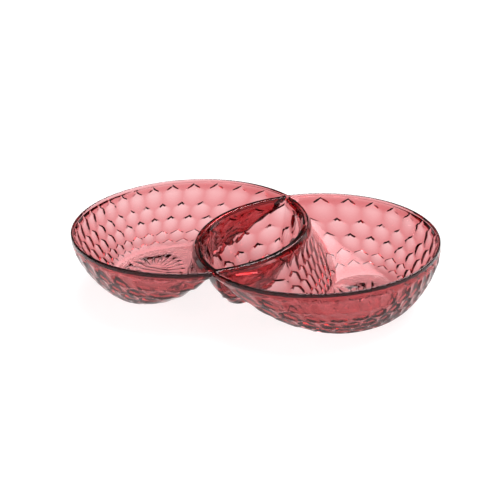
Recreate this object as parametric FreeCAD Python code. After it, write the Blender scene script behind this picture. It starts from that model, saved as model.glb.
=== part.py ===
import FreeCAD, Part
import math
import os

# Chip and dip server: one clear moulding of two equal round bowls whose rims overlap.
# The overlap is the dip cup and the two crescents beside it hold the chips.
# Origin: centre of the footprint on the table plane. +X runs along the long axis,
# +Z is up, and the two bowls stand at -X (left) and +X (right).

# ---- driving dimensions, mm ------------------------------------------------------------
RIM_RADIUS = 130.0            # outer radius of each round rim
BOWL_SPACING = 146.0          # distance between the two bowl axes
HEIGHT = 68.5                 # table to rim top
WALL = 3.2                    # moulded wall thickness
FLOOR = 3.6                   # thickness of the crescent floors
RIM_BAND = 4.6                # height of the solid band at the top
RIM_STEP = 1.0                # the band stands this far proud of the wall outside
RIDGE_WIDTH = 8.2             # width of the two divider ridges between the compartments
LIP_EASE = 1.0                # easing of the inner edges of the band
BAND_TOP_ROUND = 1.8          # rounding of the outer top edge of the band
BAND_LOW_ROUND = 0.8          # rounding of the outer lower edge of the band

# crescent bowls: outside wall
FOOT_RADIUS = 77.0            # radius of the outer wall where it turns into the floor
FOOT_SHIFT = 17.5             # the floor circle stands this far outboard of the rim circle
SHIFT_POWER = 0.68
WALL_POWER = 1.2              # exponents of the wall curve, rim to floor
WALL_ROUND = 1.27

# crescent bowls: flank under the divider
FLANK_RADIUS = 160.0          # radius of the flank at the floor, about the other bowl
FLANK_SHIFT = 6.5
FLANK_POWER = 1.6

# crescent bowls: rounding of the two horns, at the rim and extra at the floor
HORN_ROUND_TOP = 0.8
HORN_ROUND_FLOOR = 34.0
HORN_POWER = 1.26

# dip cup
CUP_FOOT_RADIUS = 88.0        # both arcs of the cup, at its floor
CUP_BASE = 2.7                # underside of the cup stands this far above the table
CUP_FLOOR = 3.4
CUP_POWER = 1.65
CUP_ROUND = 1.085
CUP_TIP_TOP = 0.8
CUP_TIP_FLOOR = 3.0

LEVELS = 11                   # number of sections in each lofted surface
HALF = BOWL_SPACING / 2.0
BAND_FLOOR = HEIGHT - RIM_BAND


def level_fractions():
    """Depth fractions from rim to floor, closer together where the wall turns in."""
    steps = []
    for i in range(LEVELS):
        steps.append(math.sin(0.5 * math.pi * i / (LEVELS - 1)))
    return steps


def wall_curve(u, top, foot, power, rounding):
    """Radius of a wall at depth fraction u, from top radius to foot radius."""
    rest = max(0.0, 1.0 - u ** power)
    return foot + (top - foot) * rest ** (1.0 / rounding)


def arc_through(centre, radius, start, end, z):
    """Arc from angle start to angle end about centre, at height z."""
    points = []
    for angle in (start, 0.5 * (start + end), end):
        x = centre[0] + radius * math.cos(angle)
        y = centre[1] + radius * math.sin(angle)
        points.append(FreeCAD.Vector(x, y, z))
    return Part.Arc(points[0], points[1], points[2]).toShape()


def crescent_wire(outer_x, outer_r, inner_x, inner_r, horn, z):
    """Closed outline inside the outer circle and outside the inner one, horns rounded."""
    gap = inner_x - outer_x
    ra = outer_r - horn
    rb = inner_r + horn
    along = (ra * ra - rb * rb + gap * gap) / (2.0 * gap)
    hx = outer_x + along
    hy = math.sqrt(ra * ra - along * along)
    on_outer = math.atan2(hy, hx - outer_x)
    on_inner = math.atan2(hy, hx - inner_x)
    low = (hx, -hy)
    high = (hx, hy)
    left = (outer_x, 0.0)
    right = (inner_x, 0.0)
    edges = []
    edges.append(arc_through(left, outer_r, on_outer, math.pi, z))
    edges.append(arc_through(left, outer_r, math.pi, 2.0 * math.pi - on_outer, z))
    edges.append(arc_through(low, horn, -on_outer, math.pi - on_inner, z))
    edges.append(arc_through(right, inner_r, 2.0 * math.pi - on_inner, math.pi, z))
    edges.append(arc_through(right, inner_r, math.pi, on_inner, z))
    edges.append(arc_through(high, horn, on_inner - math.pi, on_outer, z))
    return Part.Wire(edges)


def lens_wire(radius, tip, z):
    """Closed outline inside both circles, with its two tips rounded."""
    ra = radius - tip
    hy = math.sqrt(ra * ra - HALF * HALF)
    turn = math.atan2(hy, HALF)
    left = (-HALF, 0.0)
    right = (HALF, 0.0)
    edges = []
    edges.append(arc_through(left, radius, -turn, 0.0, z))
    edges.append(arc_through(left, radius, 0.0, turn, z))
    edges.append(arc_through((0.0, hy), tip, turn, math.pi - turn, z))
    edges.append(arc_through(right, radius, math.pi - turn, math.pi, z))
    edges.append(arc_through(right, radius, math.pi, math.pi + turn, z))
    edges.append(arc_through((0.0, -hy), tip, math.pi + turn, 2.0 * math.pi - turn, z))
    return Part.Wire(edges)


def crescent_section(u, z, grow):
    """Section of the left bowl at depth fraction u; grow moves it outward by a skin."""
    cavity_top = RIM_RADIUS - RIM_STEP - WALL
    foot = FOOT_RADIUS - WALL
    outer_r = wall_curve(u, cavity_top, foot, WALL_POWER, WALL_ROUND) + grow
    inner_r = RIM_RADIUS + (FLANK_RADIUS + WALL - RIM_RADIUS) * u ** FLANK_POWER - grow
    horn = HORN_ROUND_TOP + HORN_ROUND_FLOOR * u ** HORN_POWER + grow
    outer_x = -HALF - FOOT_SHIFT * u ** SHIFT_POWER
    inner_x = HALF + FLANK_SHIFT * u
    return crescent_wire(outer_x, outer_r, inner_x, inner_r, horn, z)


def lens_section(u, z, grow):
    """Section of the dip cup at depth fraction u; grow moves it outward by a skin."""
    top = RIM_RADIUS - RIDGE_WIDTH
    foot = CUP_FOOT_RADIUS - WALL
    radius = wall_curve(u, top, foot, CUP_POWER, CUP_ROUND) + grow
    tip = CUP_TIP_TOP + CUP_TIP_FLOOR * u + grow
    return lens_wire(radius, tip, z)


def lofted(section, z_top, z_low, grow):
    """Solid lofted through sections from z_top down to z_low."""
    wires = []
    for u in level_fractions():
        wires.append(section(u, z_top + (z_low - z_top) * u, grow))
    return Part.makeLoft(wires, True, False, False, 5)


def lip(section, grow_top):
    """Short flared prism that eases the inner edge of the band at the top."""
    low = section(0.0, HEIGHT - LIP_EASE, 0.0)
    high = section(0.0, HEIGHT + 0.2, grow_top)
    return Part.makeLoft([low, high], True, True)


def slab(z_low, z_high):
    """Wide plate between two heights, for parting the moulding into regions."""
    base = FreeCAD.Vector(-300.0, -200.0, z_low)
    return Part.makeBox(600.0, 400.0, z_high - z_low, base)


def rim_disc(x):
    """Solid disc under one round rim, with its outer top edge rounded."""
    axis = FreeCAD.Vector(0.0, 0.0, 1.0)
    base = FreeCAD.Vector(x, 0.0, BAND_FLOOR)
    disc = Part.makeCylinder(RIM_RADIUS, RIM_BAND, base, axis)
    top = []
    for edge in disc.Edges:
        if edge.Closed and edge.CenterOfMass.z > HEIGHT - 0.1:
            top.append(edge)
    return disc.makeFillet(BAND_TOP_ROUND, top[:1])


def rounded_below(disc):
    """The same disc with its outer lower edge rounded, where the band stands proud."""
    low = []
    for edge in disc.Edges:
        if edge.Closed and edge.CenterOfMass.z < BAND_FLOOR + 0.1:
            low.append(edge)
    return disc.makeFillet(BAND_LOW_ROUND, low[:1])


def mirrored(shape):
    """The same shape on the other side of the plane x = 0."""
    return shape.mirror(FreeCAD.Vector(0, 0, 0), FreeCAD.Vector(1, 0, 0))


def biggest_solid(shape):
    """The one solid of a boolean result."""
    solids = sorted(shape.Solids, key=lambda s: -s.Volume)
    return solids[0]


def build_nodes():
    """All regions of the moulding, by node name."""
    # crescent bowl on the left: skin outside, hollow inside
    outer = lofted(crescent_section, BAND_FLOOR, 0.0, WALL)
    hollow = lofted(crescent_section, HEIGHT + 0.2, FLOOR, 0.0)
    eased = lip(crescent_section, LIP_EASE * 1.2)
    shell = outer.cut(hollow)
    left_floor = biggest_solid(shell.common(slab(-1.0, FLOOR)))
    left_wall = biggest_solid(shell.common(slab(FLOOR, BAND_FLOOR)))

    # dip cup in the middle
    cup_outer = lofted(lens_section, BAND_FLOOR, CUP_BASE, WALL)
    cup_hollow = lofted(lens_section, HEIGHT + 0.2, CUP_BASE + CUP_FLOOR, 0.0)
    cup_eased = lip(lens_section, LIP_EASE * 1.2)
    cup_shell = cup_outer.cut(cup_hollow)
    cup_floor = biggest_solid(cup_shell.common(slab(-1.0, CUP_BASE + CUP_FLOOR)))
    cup_wall = biggest_solid(cup_shell.common(slab(CUP_BASE + CUP_FLOOR, BAND_FLOOR)))

    # top band: two discs less the three openings. The rim of the right bowl, where it
    # runs inside the left one, is the left divider ridge.
    left_disc = rounded_below(rim_disc(-HALF))
    right_disc = rim_disc(HALF)
    up = FreeCAD.Vector(0.0, 0.0, 1.0)
    reach = FreeCAD.Vector(HALF, 0.0, BAND_FLOOR - 1.0)
    right_round = Part.makeCylinder(RIM_RADIUS, RIM_BAND + 2.0, reach, up)
    left_rim = biggest_solid(left_disc.cut(right_round).cut(hollow).cut(eased))
    corner = FreeCAD.Vector(-300.0, -200.0, 0.0)
    left_half = Part.makeBox(300.0, 400.0, 100.0, corner)
    segment = right_disc.common(left_half)
    left_ridge = biggest_solid(segment.cut(cup_hollow).cut(cup_eased))

    nodes = {}
    nodes["left_bowl_wall"] = left_wall
    nodes["left_bowl_floor"] = left_floor
    nodes["left_rim"] = left_rim
    nodes["left_divider_ridge"] = left_ridge
    nodes["dip_cup_wall"] = cup_wall
    nodes["dip_cup_floor"] = cup_floor
    for name in ("bowl_wall", "bowl_floor", "rim", "divider_ridge"):
        nodes["right_" + name] = mirrored(nodes["left_" + name])
    return nodes


os.makedirs("parts", exist_ok=True)
for node_name, node_shape in build_nodes().items():
    node_shape.exportStep("parts/" + node_name + ".step")
    box = node_shape.BoundBox
    print(node_name, node_shape.isValid(), len(node_shape.Solids), round(node_shape.Volume))
    print("   ", [round(v, 2) for v in (box.XMin, box.XMax, box.YMin, box.YMax, box.ZMin, box.ZMax)])
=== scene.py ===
import math
import bpy
import numpy as np
from mathutils import Matrix, Vector


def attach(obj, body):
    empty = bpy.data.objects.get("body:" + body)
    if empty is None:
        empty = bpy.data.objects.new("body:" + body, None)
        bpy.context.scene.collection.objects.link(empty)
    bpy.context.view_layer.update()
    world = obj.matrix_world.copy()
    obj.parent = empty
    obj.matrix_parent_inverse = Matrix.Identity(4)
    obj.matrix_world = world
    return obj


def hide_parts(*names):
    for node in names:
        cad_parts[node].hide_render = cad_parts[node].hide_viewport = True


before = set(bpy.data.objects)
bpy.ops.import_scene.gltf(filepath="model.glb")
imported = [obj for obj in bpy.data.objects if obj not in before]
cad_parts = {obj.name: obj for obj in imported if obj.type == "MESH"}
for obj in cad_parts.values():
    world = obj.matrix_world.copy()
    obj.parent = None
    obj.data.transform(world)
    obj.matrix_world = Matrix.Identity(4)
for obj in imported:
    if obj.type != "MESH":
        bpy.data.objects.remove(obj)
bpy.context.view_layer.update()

# Chip and dip server: one clear rose moulding of two round bowls whose rims overlap. The overlap
# is the dip cup. The outside of every wall is cut with staggered rows of scoops and the inside
# is smooth. Lengths are millimetres in the row frame, except for the floor and the camera.

MM = 0.001                      # metres in a millimetre

# ---- size and section of the moulding ---------------------------------------------------
RIM_RADIUS = 130.0
HALF = 73.0
HEIGHT = 68.5
WALL = 3.2
FLOOR = 3.6
RIM_BAND = 4.6
RIM_STEP = 1.0
RIDGE_WIDTH = 8.2
LIP_ROUND = 0.7
BAND_TOP_ROUND = 1.6
BAND_LOW_ROUND = 0.6
BAND_FLOOR = HEIGHT - RIM_BAND
BOWL_FLARE = 3.2                # the inside of the band leans out by this much, foot to top
CUP_FLARE = 1.8
FLARE_FOOT = HEIGHT - 5.3
FLARE_FADE = 9.0                # below it the wall thins back to its own section over this depth

FOOT_RADIUS = 77.0
FOOT_SHIFT = 17.5
SHIFT_POWER = 0.68
WALL_POWER = 1.2
WALL_ROUND = 1.27
FLANK_RADIUS = 160.0
FLANK_SHIFT = 6.5
FLANK_POWER = 1.6
HORN_ROUND_TOP = 0.8
HORN_ROUND_FLOOR = 34.0
HORN_POWER = 1.26

CUP_FOOT_RADIUS = 88.0
CUP_BASE = 2.7
CUP_FLOOR = 3.4
CUP_POWER = 1.65
CUP_ROUND = 1.085
CUP_TIP_TOP = 0.8
CUP_TIP_FLOOR = 3.0

# ---- reach of the overlapping forms that are joined and cut ------------------------------
SKIN_REACH = 1.6                # the outside skins go this far up into the band
DEPTH_ABOVE = 0.2               # the hollows' depth is measured from this far above the rim
CUTTER_ABOVE = 1.5              # the hollows' forms end this far above the rim

# ---- scoops -----------------------------------------------------------------------------
BOWL_CELLS = 30                 # columns of scoops round a bowl, at equal angles about BOWL_CENTRE
BOWL_CENTRE = -122.0
HORN_FROM = 34.0                # between these angles the columns are eased round the horn
HORN_TO = 50.0
HORN_CELL = 3.5                 # column in the middle of a horn
SLOPE_LIMIT = 2.5               # the eased stretch starts and ends no steeper than this times its mean
SLOPE_STEPS = 8                 # samples over which those slopes are taken
TABLE_STEPS = 720               # steps of angle in a column table, over half the section
OUTSIDE_FROM = 1.5              # sections grown by more than this use the outside's column table
CUP_CELLS = 3                   # scoops on a quarter of the cup
DEPTHS = np.linspace(0.0, 1.0, 61)
BOWL_ROWS = (6.0, 29.0, 46.0, 64.0, 76.0)     # apex of each row, down the wall from the rim top
BOWL_ROW_END = 85.0             # lowest edge of the last row
CUP_ROWS = (6.0, 28.0, 45.0, 60.0)
CUP_ROW_END = 70.0
PEAK_DROP = (7.5, 6.5, 6.0, 5.0, 4.5)         # how far the two upper edges of a scoop fall
PEAK_POWER = 0.8                # below 1 the edges are steeper near the peak
SCOOP_DEPTH = (2.0, 2.1, 2.2, 2.2, 1.8)
STEP_WIDTH = (2.0, 3.0, 3.0, 1.3, 1.3)        # width of the steep step along the upper edges
STEP_SHARE = 0.3                # the step takes up no more than this share of a scoop's height
FADE_POWER = 1.6                # how the depth runs out towards a scoop's lower end

# ---- petals under the floors ------------------------------------------------------------
PETALS = 22                     # shallow petals in a ring under each crescent floor
PETAL_CENTRE = (-122.0, 24.0)   # centre of the ring, and of a petal along its own radius
PETAL_HALF = (15.0, 2.6, 3.2)   # half length, width and height of the form that cuts a petal
PETAL_SINK = 2.4                # its centre is this far below the rest plane
PETAL_STRETCH = 1.35            # the ring is longer than it is wide, as the floor is
PETAL_END = 0.03                # share of a half turn left off at each end, closed by a small cap
PETAL_RINGS = 11
PETAL_SIDES = 16

# ---- fineness of the mesh ---------------------------------------------------------------
PER_CELL = 12                   # mesh columns in one scoop
PER_ROW = 9                     # mesh rows in one scoop
FINE_WITHIN = 0.9               # columns are closer together within this many cells of a tip
LIP_RINGS = 6
BAND_RINGS = 6
FADE_RINGS = 7
WALL_RINGS = 34
DISC_STEPS = 360
CURVE_STEPS = 4000              # steps along a wall's curve where it is measured
SHARP_ANGLE = 34.0              # degrees; creases steeper than this stay sharp

# ---- material, light and camera ---------------------------------------------------------
REFRACTIVE_INDEX = 1.49
TINT = (0.74, 0.06, 0.092, 1.0)
TINT_DENSITY = 310.0            # per metre
REFLECTION_TINT = (0.9, 0.55, 0.58, 1.0)
RIPPLE_SCALE = 70.0             # waves in a metre, roughly
RIPPLE_HEIGHT = 0.0004          # metres
FLOOR_HALF = 6.0                # metres, half the floor's side
FLOOR_DROP = 0.0003             # metres; keeps the floor clear of the rest faces
FLOOR_GREY = 0.25
FLOOR_GLOW = 0.83               # the floor gives off most of its own light, like a light table
ROOM_STRENGTH = 0.06
SOFTBOX_DIRECTION = (0.118, 0.486, 0.866)
SOFTBOX_EDGE = (0.80, 0.93)     # cosines from its direction: where it begins, and where it is full
SOFTBOX_STRENGTH = 6.5
FILL_DIRECTION = (0.394, -0.919, 0.0)
FILL_EDGE = (-0.25, 0.35)
FILL_STRENGTH = 0.8
HORIZON_EDGE = (0.08, 0.2)      # sines of the height where the pale horizon begins and ends to fade
HORIZON_STRENGTH = 0.9
CAMERA_AZIMUTH = 23.18          # degrees, from -Y towards +X
CAMERA_ELEVATION = 24.56
CAMERA_ROLL = -2.28
CAMERA_TARGET = (0.0157, -0.0451, HEIGHT * MM)
CAMERA_DISTANCE = 1.552         # metres
CAMERA_LENS = 107.25            # on a sensor 36 mm wide
LIGHT_BOUNCES = 24
GLOSSY_BOUNCES = 12


def wall_curve(u, top, foot, power, rounding):
    """Radius of a wall at depth fraction u, from top radius to foot radius."""
    rest = np.maximum(0.0, 1.0 - u ** power)
    return foot + (top - foot) * rest ** (1.0 / rounding)


def crescent_arcs(u, grow):
    """Radii, centres and junction angles of the left bowl's section at depth fraction u."""
    cavity_top = RIM_RADIUS - RIM_STEP - WALL
    outer_r = wall_curve(u, cavity_top, FOOT_RADIUS - WALL, WALL_POWER, WALL_ROUND) + grow
    inner_r = RIM_RADIUS + (FLANK_RADIUS + WALL - RIM_RADIUS) * u ** FLANK_POWER - grow
    horn = HORN_ROUND_TOP + HORN_ROUND_FLOOR * u ** HORN_POWER + grow
    outer_x = -HALF - FOOT_SHIFT * u ** SHIFT_POWER
    inner_x = HALF + FLANK_SHIFT * u
    gap = inner_x - outer_x
    ra = outer_r - horn
    rb = inner_r + horn
    along = (ra * ra - rb * rb + gap * gap) / (2.0 * gap)
    hx = outer_x + along
    hy = np.sqrt(ra * ra - along * along)
    on_outer = np.arctan2(hy, hx - outer_x)
    on_inner = np.arctan2(hy, hx - inner_x)
    return outer_x, outer_r, inner_x, inner_r, hx, hy, horn, on_outer, on_inner


def crescent_path(u, share, grow):
    """Point on the y >= 0 half of the section, share 0 in mid flank to 1 at the outer end."""
    outer_x, outer_r, inner_x, inner_r, hx, hy, horn, on_outer, on_inner = crescent_arcs(u, grow)
    flank = inner_r * (math.pi - on_inner)
    corner = horn * (on_outer + math.pi - on_inner)
    path = share * (flank + corner + outer_r * (math.pi - on_outer))
    on_flank = path < flank
    on_corner = (path >= flank) & (path < flank + corner)
    a1 = math.pi - path / inner_r
    a2 = on_inner - math.pi + (path - flank) / horn
    a3 = on_outer + (path - flank - corner) / outer_r
    x = np.where(on_flank, inner_x + inner_r * np.cos(a1), outer_x + outer_r * np.cos(a3))
    y = np.where(on_flank, inner_r * np.sin(a1), outer_r * np.sin(a3))
    x = np.where(on_corner, hx + horn * np.cos(a2), x)
    y = np.where(on_corner, hy + horn * np.sin(a2), y)
    return x, y


def column_table(grow):
    """Share of the half section against angle about the floor's centre, level by level.

    Round the horn the share is eased between its values and slopes on either side.
    """
    angles = np.radians(np.linspace(0.0, 180.0, TABLE_STEPS + 1))
    table = []
    for u in DEPTHS:
        share = np.linspace(0.0, 1.0, 3001)
        x, y = crescent_path(np.full_like(share, u), share, grow)
        turn = np.arctan2(np.abs(y), x - BOWL_CENTRE)
        low = int(np.argmax(turn > math.radians(HORN_FROM)))
        high = len(turn) - int(np.argmax(turn[::-1] < math.radians(HORN_TO)))
        a0, a1 = turn[low], turn[high]
        s0, s1 = share[low], share[high]
        before = low - SLOPE_STEPS
        after = high + SLOPE_STEPS
        steepest = SLOPE_LIMIT * ((s1 - s0) / (a1 - a0))
        m0 = min((share[low] - share[before]) / (turn[low] - turn[before]), steepest)
        m1 = min((share[after] - share[high]) / (turn[after] - turn[high]), steepest)
        t = np.clip((angles - a0) / (a1 - a0), 0.0, 1.0)
        eased = s0 * (2 * t ** 3 - 3 * t ** 2 + 1) + s1 * (3 * t ** 2 - 2 * t ** 3)
        eased = eased + (a1 - a0) * (m0 * (t ** 3 - 2 * t ** 2 + t) + m1 * (t ** 3 - t ** 2))
        row = np.where(angles < a0, np.interp(angles, turn[:low + 1], share[:low + 1]), eased)
        row = np.where(angles > a1, np.interp(angles, turn[high:], share[high:]), row)
        table.append(row)
    return np.array(table)


def crescent(u, c, grow):
    """The whole section: c counts columns counter-clockwise from 0 in mid flank to BOWL_CELLS."""
    c = np.mod(c, float(BOWL_CELLS))
    upper = c <= BOWL_CELLS / 2
    angle = np.where(upper, c, BOWL_CELLS - c) * (TABLE_STEPS / (BOWL_CELLS / 2))
    level = np.clip(u, 0.0, 1.0) * (len(DEPTHS) - 1)
    table = OUTSIDE_COLUMNS if grow > OUTSIDE_FROM else INSIDE_COLUMNS
    i = np.clip(level.astype(int), 0, len(DEPTHS) - 2)
    j = np.clip(angle.astype(int), 0, TABLE_STEPS - 1)
    fi = level - i
    fj = angle - j
    share = (table[i, j] * (1 - fj) + table[i, j + 1] * fj) * (1 - fi)
    share = share + (table[i + 1, j] * (1 - fj) + table[i + 1, j + 1] * fj) * fi
    x, y = crescent_path(u, share, grow)
    return x, np.where(upper, y, -y)


def lens(u, c, grow):
    """Section of the dip cup: c runs counter-clockwise from 0 at +X to 4 * CUP_CELLS."""
    radius = wall_curve(u, RIM_RADIUS - RIDGE_WIDTH, CUP_FOOT_RADIUS - WALL, CUP_POWER, CUP_ROUND)
    radius = radius + grow
    tip = CUP_TIP_TOP + CUP_TIP_FLOOR * u + grow
    hy = np.sqrt((radius - tip) ** 2 - HALF * HALF)
    turn = np.arctan2(hy, HALF)
    side = radius * turn
    total = side + tip * (math.pi / 2 - turn)
    quarter = float(CUP_CELLS)
    c = np.mod(c, 4 * quarter)
    half = np.mod(c, 2 * quarter)
    span = np.where(half <= quarter, half, 2 * quarter - half)
    path = total * span / quarter
    a1 = path / radius
    a2 = turn + (path - side) / tip
    x = np.where(path < side, -HALF + radius * np.cos(a1), tip * np.cos(a2))
    y = np.where(path < side, radius * np.sin(a1), hy + tip * np.sin(a2))
    x = np.where((c > quarter) & (c < 3 * quarter), -x, x)
    return x, np.where(c > 2 * quarter, -y, y)


def bowl_drop():
    """Distance down a bowl's outer wall from the rim top, against depth fraction."""
    u = np.linspace(0.0, 1.0, CURVE_STEPS + 1)
    radius = wall_curve(u, RIM_RADIUS - RIM_STEP, FOOT_RADIUS, WALL_POWER, WALL_ROUND)
    axis = FOOT_SHIFT * u ** SHIFT_POWER
    step = np.sqrt(np.diff(radius) ** 2 + np.diff(axis) ** 2 + np.diff(BAND_FLOOR * u) ** 2)
    return RIM_BAND + np.concatenate(([0.0], np.cumsum(step))), u


def cup_drop():
    """The same for the middle of the cup's side."""
    u = np.linspace(0.0, 1.0, CURVE_STEPS + 1)
    radius = wall_curve(u, RIM_RADIUS - RIDGE_WIDTH, CUP_FOOT_RADIUS - WALL, CUP_POWER, CUP_ROUND)
    step = np.sqrt(np.diff(radius) ** 2 + np.diff((BAND_FLOOR - CUP_BASE) * u) ** 2)
    return RIM_BAND + np.concatenate(([0.0], np.cumsum(step))), u


def column_places(count, fine):
    """Columns of a mesh grid over count cells, three times closer together round those in fine."""
    places = []
    for i in range(count * PER_CELL):
        c = i / PER_CELL
        places.append(c)
        if min(abs(c + 0.5 / PER_CELL - f) for f in fine) < FINE_WITHIN:
            places.append(c + 1.0 / (3 * PER_CELL))
            places.append(c + 2.0 / (3 * PER_CELL))
    return np.array(places)


def off_middle(c, k, offset):
    """How far columns c are from the middle of their scoop in row k: 0 there, 1 at its sides."""
    shift = offset + 0.5 * (k % 2)
    return np.abs(c - shift - np.round(c - shift)) * 2.0


def scooped_skin(section, count, offset, fine, drop, z_low, rows, row_end):
    """Grid of points on the outside of a compartment, with its scoops cut in."""
    s_of_u, u_table = drop
    c = column_places(count, fine)
    columns = len(c)
    zigzags = []
    for k, apex in enumerate(rows):
        zigzags.append(apex + PEAK_DROP[k] * off_middle(c, k, offset) ** PEAK_POWER)
    zigzags.append(np.full(columns, row_end))
    lines = []
    depths = []
    top = np.full(columns, RIM_BAND - SKIN_REACH)
    for t in (0.0, 0.35, 0.7):
        lines.append(top + (zigzags[0] - top) * t)
        depths.append(np.zeros(columns))
    for k in range(len(rows)):
        bowl = 1.0 - off_middle(c, k, offset) ** 2
        high = zigzags[k]
        low = zigzags[k + 1]
        depth = SCOOP_DEPTH[k]
        lines.append(high)
        depths.append(np.zeros(columns))
        edge = np.minimum(STEP_WIDTH[k] / (low - high), STEP_SHARE)
        for i in range(PER_ROW):
            t = edge + (1.0 - edge) * i / PER_ROW
            fade = 1.0 - (t - edge) ** FADE_POWER / (1.0 - edge) ** FADE_POWER
            lines.append(high + (low - high) * t)
            depths.append(depth * bowl * fade)
    s_end = s_of_u[-1]
    for t in (0.0, 0.34, 0.67, 1.0):
        lines.append(zigzags[-1] + (s_end - zigzags[-1]) * t)
        depths.append(np.zeros(columns))
    s = np.array(lines)
    depth = np.array(depths)

    def place(s_values, c_values):
        """Points of the plain wall, s down it from the rim top and c round it."""
        u = np.interp(s_values, s_of_u, u_table)
        x, y = section(u, c_values, WALL)
        z = np.where(s_values < RIM_BAND, HEIGHT - s_values, BAND_FLOOR + (z_low - BAND_FLOOR) * u)
        return np.stack((x, y, z), axis=-1)

    c_grid = np.broadcast_to(c, s.shape)
    points = place(s, c_grid)
    down_step = 0.4
    along_step = 0.02
    down = place(np.minimum(s + down_step, s_end), c_grid) - place(s - down_step, c_grid)
    along = place(s, c_grid + along_step) - place(s, c_grid - along_step)
    normal = np.cross(down, along)
    normal = normal / np.linalg.norm(normal, axis=-1, keepdims=True)
    return points - normal * depth[..., None]


def hollow_skin(section, count, fine, z_floor, flare):
    """Grid of points on the smooth inside of a compartment, flared at the rim.

    From the top: a lip that opens into the air, the leaning inside of the band, a stretch
    that fades back to the plain section, and the plain wall down to the floor.
    """
    c = column_places(count, fine)[::2]
    columns = len(c)
    top = HEIGHT + DEPTH_ABOVE
    lean = flare / (HEIGHT - FLARE_FOOT)

    def depth_at(z):
        return (top - z) / (top - z_floor)

    rings = []
    for z in (HEIGHT + CUTTER_ABOVE, top):
        rings.append((0.0, z, 0.5 * flare + LIP_ROUND + z - HEIGHT))
    for i in range(LIP_RINGS + 1):
        t = 1.0 - i / LIP_RINGS
        z = HEIGHT - LIP_ROUND * (1.0 - t)
        opening = LIP_ROUND * (1.0 - math.sqrt(1.0 - t * t))
        rings.append((depth_at(z), z, lean * (z - HEIGHT) + 0.5 * flare + opening))
    for i in range(1, BAND_RINGS + 1):
        z = HEIGHT - LIP_ROUND - (HEIGHT - LIP_ROUND - FLARE_FOOT) * i / BAND_RINGS
        rings.append((depth_at(z), z, lean * (z - HEIGHT) + 0.5 * flare))
    for i in range(1, FADE_RINGS + 1):
        t = i / FADE_RINGS
        z = FLARE_FOOT - FLARE_FADE * i / FADE_RINGS
        rings.append((depth_at(z), z, -0.5 * flare * (1.0 - t * t * (3.0 - 2.0 * t))))
    first = (top - FLARE_FOOT + FLARE_FADE) / (top - z_floor)
    for i in range(1, WALL_RINGS + 1):
        u = first + (1.0 - first) * math.sin(0.5 * math.pi * i / WALL_RINGS)
        rings.append((u, top + (z_floor - top) * u, 0.0))
    out = []
    for u, z, grow in rings:
        x, y = section(np.full(columns, u), c, grow)
        out.append(np.stack((x, y, np.full(columns, z)), axis=-1))
    return np.array(out)


def new_object(name, points, faces):
    """Mesh object in the scene, from points in metres and faces."""
    mesh = bpy.data.meshes.new(name)
    mesh.from_pydata(points, [], faces)
    mesh.update()
    obj = bpy.data.objects.new(name, mesh)
    bpy.context.scene.collection.objects.link(obj)
    return obj


def solid(name, grid, mirror=False):
    """Closed object from rings of points, top ring first, capped at both ends."""
    rows, columns, _ = grid.shape
    points = grid.reshape(-1, 3) * MM
    if mirror:
        points = points * np.array((-1.0, 1.0, 1.0))
    faces = []
    for i in range(rows - 1):
        for j in range(columns):
            a = i * columns + j
            b = i * columns + (j + 1) % columns
            quad = (a, a + columns, b + columns, b)
            faces.append(quad[::-1] if mirror else quad)
    top = list(range(columns))
    low = [(rows - 1) * columns + j for j in range(columns)]
    faces.append(top[::-1] if mirror else top)
    faces.append(low if mirror else low[::-1])
    return new_object(name, points.tolist(), faces)


def petals(name, mirror=False):
    """Separate closed long drops under one crescent floor; each cuts a shallow petal."""
    ring_x, petal_r = PETAL_CENTRE
    half_length, half_width, half_height = PETAL_HALF
    sides = PETAL_SIDES
    sign = -1.0 if mirror else 1.0
    points = []
    faces = []
    for k in range(PETALS):
        turn = 2.0 * math.pi * (k + 0.5) / PETALS
        start = len(points)
        for i in range(PETAL_RINGS):
            a = math.pi * (PETAL_END + (1.0 - 2.0 * PETAL_END) * i / (PETAL_RINGS - 1))
            for j in range(sides):
                b = 2.0 * math.pi * (j + 0.5) / sides
                r = petal_r - half_length * math.cos(a)
                side = half_width * math.sin(a) * math.cos(b)
                z = half_height * math.sin(a) * math.sin(b) - PETAL_SINK
                x = ring_x + r * math.cos(turn) - side * math.sin(turn)
                y = PETAL_STRETCH * (r * math.sin(turn) + side * math.cos(turn))
                points.append((sign * x * MM, y * MM, z * MM))
        for i in range(PETAL_RINGS - 1):
            for j in range(sides):
                p = start + i * sides + j
                q = start + i * sides + (j + 1) % sides
                quad = (p, q, q + sides, p + sides)
                faces.append(quad[::-1] if mirror else quad)
        first = tuple(start + j for j in range(sides))
        last = tuple(start + (PETAL_RINGS - 1) * sides + j for j in range(sides))
        faces.append(first if mirror else first[::-1])
        faces.append(last[::-1] if mirror else last)
    return new_object(name, points, faces)


def rim_disc(name, x):
    """Solid disc under one round rim, with its outer edges rounded."""
    top_steps = 8
    low_steps = 4
    profile = []
    for i in range(top_steps + 1):
        a = 0.5 * math.pi * i / top_steps
        r = RIM_RADIUS - BAND_TOP_ROUND * (1.0 - math.sin(a))
        profile.append((r, HEIGHT - BAND_TOP_ROUND * (1.0 - math.cos(a))))
    for i in range(low_steps + 1):
        a = 0.5 * math.pi * i / low_steps
        r = RIM_RADIUS - BAND_LOW_ROUND * (1.0 - math.cos(a))
        profile.append((r, BAND_FLOOR + BAND_LOW_ROUND * (1.0 - math.sin(a))))
    turn = 2.0 * math.pi * np.arange(DISC_STEPS) / DISC_STEPS
    rings = []
    for r, z in profile:
        ring = (x + r * np.cos(turn), r * np.sin(turn), np.full(DISC_STEPS, z))
        rings.append(np.stack(ring, axis=-1))
    return solid(name, np.array(rings))


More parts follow.
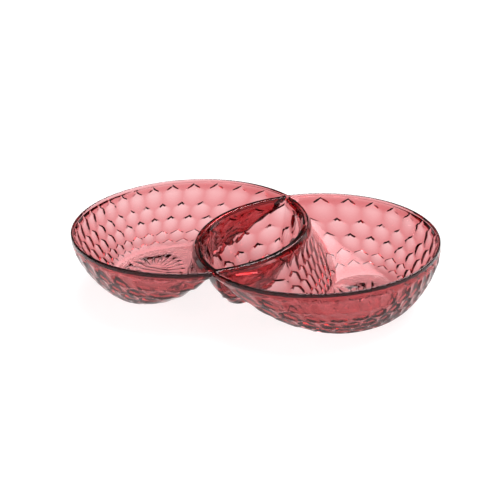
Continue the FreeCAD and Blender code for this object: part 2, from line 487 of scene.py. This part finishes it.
def combined(base, parts):
    """One closed mesh from base and (operation, object) pairs; the helpers are removed."""
    for i, (operation, other) in enumerate(parts):
        step = base.modifiers.new(f"step_{i}", "BOOLEAN")
        step.operation = operation
        step.solver = "MANIFOLD"
        step.object = other
    bpy.context.view_layer.update()
    evaluated = base.evaluated_get(bpy.context.evaluated_depsgraph_get())
    mesh = bpy.data.meshes.new_from_object(evaluated)
    base.modifiers.clear()
    base.data = mesh
    for _, other in parts:
        bpy.data.objects.remove(other)
    return base


# ---- the moulding -----------------------------------------------------------------------
OUTSIDE_COLUMNS = column_table(WALL)
INSIDE_COLUMNS = column_table(0.0)
cup_count = 4 * CUP_CELLS
horns = (HORN_CELL, BOWL_CELLS - HORN_CELL)
tips = (CUP_CELLS, 3 * CUP_CELLS)
bowl_skin = scooped_skin(crescent, BOWL_CELLS, 0.5, horns, bowl_drop(), 0.0, BOWL_ROWS, BOWL_ROW_END)
cup_skin = scooped_skin(lens, cup_count, 0.0, tips, cup_drop(), CUP_BASE, CUP_ROWS, CUP_ROW_END)
bowl_hollow = hollow_skin(crescent, BOWL_CELLS, horns, FLOOR, BOWL_FLARE)
cup_hollow = hollow_skin(lens, cup_count, tips, CUP_BASE + CUP_FLOOR, CUP_FLARE)

server = combined(solid("server", bowl_skin), [
    ("UNION", solid("skin_right", bowl_skin, True)),
    ("UNION", solid("skin_cup", cup_skin)),
    ("UNION", rim_disc("disc_left", -HALF)),
    ("UNION", rim_disc("disc_right", HALF)),
    ("DIFFERENCE", solid("hollow_left", bowl_hollow)),
    ("DIFFERENCE", solid("hollow_right", bowl_hollow, True)),
    ("DIFFERENCE", solid("hollow_cup", cup_hollow)),
    ("DIFFERENCE", petals("left_petals")),
    ("DIFFERENCE", petals("right_petals", True)),
])
server.data.shade_smooth()
server.data.set_sharp_from_angle(angle=math.radians(SHARP_ANGLE))


# ---- materials --------------------------------------------------------------------------
def shader(name):
    """New node material; returns it with its nodes, links and output."""
    material = bpy.data.materials.new(name)
    material.use_nodes = True
    nodes = material.node_tree.nodes
    nodes.clear()
    output = nodes.new("ShaderNodeOutputMaterial")
    return material, nodes, material.node_tree.links, output


def rose_plastic():
    """Clear rose plastic: polished surface with a faint moulding ripple, colour in the volume."""
    material, nodes, links, output = shader("rose_clear")
    body = nodes.new("ShaderNodeBsdfPrincipled")
    body.inputs["Base Color"].default_value = (1.0, 1.0, 1.0, 1.0)
    body.inputs["Roughness"].default_value = 0.0
    body.inputs["IOR"].default_value = REFRACTIVE_INDEX
    body.inputs["Transmission Weight"].default_value = 1.0
    body.inputs["Specular Tint"].default_value = REFLECTION_TINT
    tint = nodes.new("ShaderNodeVolumeAbsorption")
    tint.inputs["Color"].default_value = TINT
    tint.inputs["Density"].default_value = TINT_DENSITY
    place = nodes.new("ShaderNodeTexCoord")
    waves = nodes.new("ShaderNodeTexNoise")
    waves.inputs["Scale"].default_value = RIPPLE_SCALE
    waves.inputs["Detail"].default_value = 1.0
    ripple = nodes.new("ShaderNodeBump")
    ripple.inputs["Strength"].default_value = 1.0
    ripple.inputs["Distance"].default_value = RIPPLE_HEIGHT
    links.new(place.outputs["Object"], waves.inputs["Vector"])
    links.new(waves.outputs["Fac"], ripple.inputs["Height"])
    links.new(ripple.outputs["Normal"], body.inputs["Normal"])
    links.new(body.outputs[0], output.inputs["Surface"])
    links.new(tint.outputs[0], output.inputs["Volume"])
    return material


def table_top():
    """Matt white floor, lit from within."""
    material, nodes, links, output = shader("table_top")
    body = nodes.new("ShaderNodeBsdfPrincipled")
    body.inputs["Base Color"].default_value = (FLOOR_GREY, FLOOR_GREY, FLOOR_GREY, 1.0)
    body.inputs["Roughness"].default_value = 0.9
    body.inputs["Emission Color"].default_value = (1.0, 1.0, 1.0, 1.0)
    body.inputs["Emission Strength"].default_value = FLOOR_GLOW
    body.inputs["Specular IOR Level"].default_value = 0.0
    links.new(body.outputs[0], output.inputs["Surface"])
    return material


server.data.materials.clear()
server.data.materials.append(rose_plastic())
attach(server, "root")
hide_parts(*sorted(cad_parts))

# ---- floor, light and camera ------------------------------------------------------------
corners = []
for x, y in ((-1, -1), (1, -1), (1, 1), (-1, 1)):
    corners.append((x * FLOOR_HALF, y * FLOOR_HALF, -FLOOR_DROP))
floor = new_object("floor", corners, [(0, 1, 2, 3)])
floor.data.materials.append(table_top())


def studio():
    """White light: a softbox above the far side, a soft fill from the front, a pale horizon."""
    world = bpy.data.worlds.new("studio")
    world.use_nodes = True
    nodes = world.node_tree.nodes
    links = world.node_tree.links
    outward = nodes.new("ShaderNodeTexCoord").outputs["Generated"]

    def towards(direction):
        """Cosine of the angle from a direction."""
        node = nodes.new("ShaderNodeVectorMath")
        node.operation = "DOT_PRODUCT"
        node.inputs[1].default_value = direction
        links.new(outward, node.inputs[0])
        return node.outputs["Value"]

    def faded(value, edge, at_low, at_high):
        """Soft step from at_low to at_high over the two values in edge."""
        node = nodes.new("ShaderNodeMapRange")
        node.interpolation_type = "SMOOTHSTEP"
        node.inputs["From Min"].default_value = edge[0]
        node.inputs["From Max"].default_value = edge[1]
        node.inputs["To Min"].default_value = at_low
        node.inputs["To Max"].default_value = at_high
        links.new(value, node.inputs["Value"])
        return node.outputs["Result"]

    def joined(operation, first, second):
        node = nodes.new("ShaderNodeMath")
        node.operation = operation
        links.new(first, node.inputs[0])
        links.new(second, node.inputs[1])
        return node.outputs[0]

    split = nodes.new("ShaderNodeSeparateXYZ")
    links.new(outward, split.inputs[0])
    softbox = faded(towards(SOFTBOX_DIRECTION), SOFTBOX_EDGE, ROOM_STRENGTH, SOFTBOX_STRENGTH)
    fill = faded(towards(FILL_DIRECTION), FILL_EDGE, 0.0, FILL_STRENGTH)
    horizon = faded(split.outputs["Z"], HORIZON_EDGE, HORIZON_STRENGTH, 0.0)
    upper = joined("ADD", softbox, fill)
    background = nodes["Background"]
    background.inputs["Color"].default_value = (1.0, 1.0, 1.0, 1.0)
    links.new(joined("MAXIMUM", upper, horizon), background.inputs["Strength"])
    return world


def camera():
    """Camera on its target, turned a little about its own axis."""
    azimuth = math.radians(CAMERA_AZIMUTH)
    elevation = math.radians(CAMERA_ELEVATION)
    roll = math.radians(CAMERA_ROLL)
    across = math.cos(elevation)
    back = Vector((math.sin(azimuth) * across, -math.cos(azimuth) * across, math.sin(elevation)))
    level = Vector((math.cos(azimuth), math.sin(azimuth), 0.0))
    upward = back.cross(level)
    right = math.cos(roll) * level + math.sin(roll) * upward
    upward = math.cos(roll) * upward - math.sin(roll) * level
    data = bpy.data.cameras.new("camera")
    data.sensor_width = 36.0
    data.lens = CAMERA_LENS
    obj = bpy.data.objects.new("camera", data)
    bpy.context.scene.collection.objects.link(obj)
    turned = Matrix((right, upward, back)).transposed().to_4x4()
    obj.matrix_world = Matrix.Translation(Vector(CAMERA_TARGET) + back * CAMERA_DISTANCE) @ turned
    return obj


scene = bpy.context.scene
scene.world = studio()
scene.camera = camera()
scene.view_settings.view_transform = "Standard"
scene.cycles.max_bounces = LIGHT_BOUNCES
scene.cycles.transmission_bounces = LIGHT_BOUNCES
scene.cycles.glossy_bounces = GLOSSY_BOUNCES
